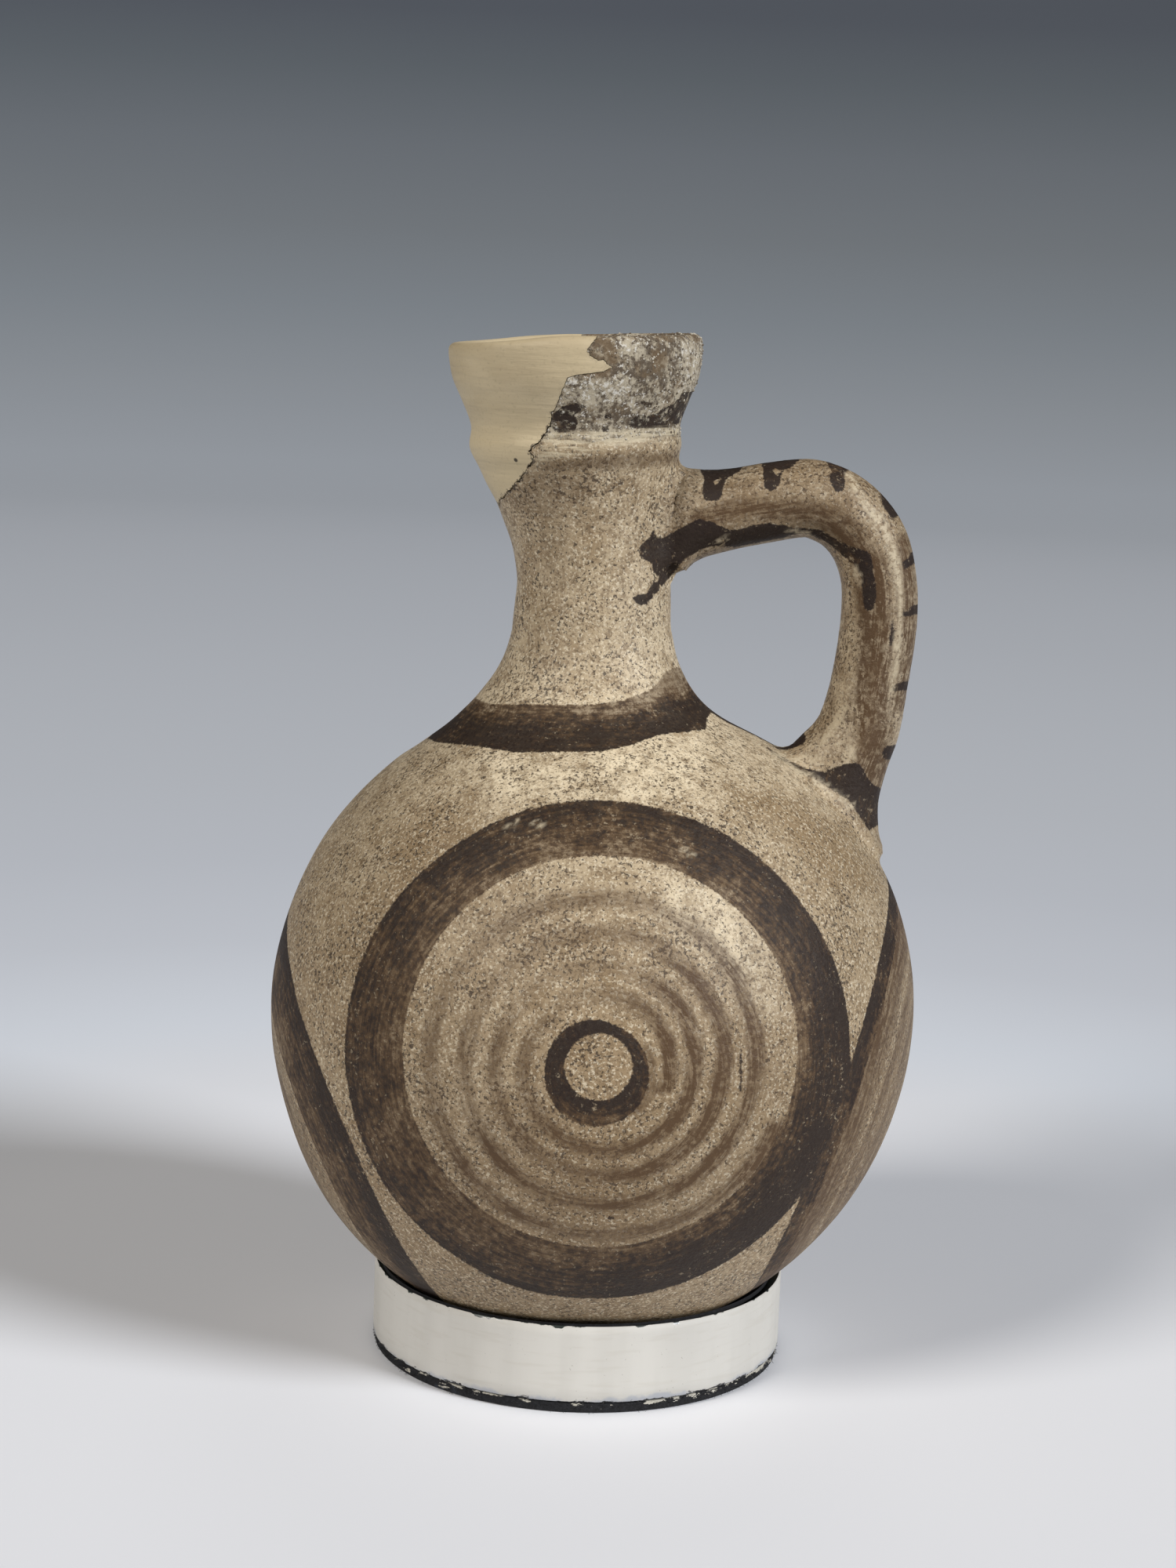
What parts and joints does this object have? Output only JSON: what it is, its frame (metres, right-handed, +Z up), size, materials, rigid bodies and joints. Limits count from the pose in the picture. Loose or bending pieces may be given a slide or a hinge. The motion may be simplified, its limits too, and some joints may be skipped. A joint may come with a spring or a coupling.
{
  "type": "juglet",
  "caption": "Round-bodied painted clay juglet with a narrow neck, flaring mouth and loop handle, standing in a painted cradle ring.",
  "frame": {"origin": "on the surface it stands on, under the middle of the body", "axes": "+Z up, handle towards +X, the side with the full set of painted circles towards -Y"},
  "size_m": [0.0859, 0.086, 0.1372],
  "materials": {
    "juglet": "matte",
    "plaster_fill": "matte",
    "display_ring": "matte",
    "ring_lining": "matte",
    "felt_foot": "matte"
  },
  "bodies": {
    "root": {"juglet": "juglet", "plaster_fill": "plaster_fill", "display_ring": "display_ring", "ring_lining": "ring_lining", "felt_foot": "felt_foot"}
  },
  "joints": []
}
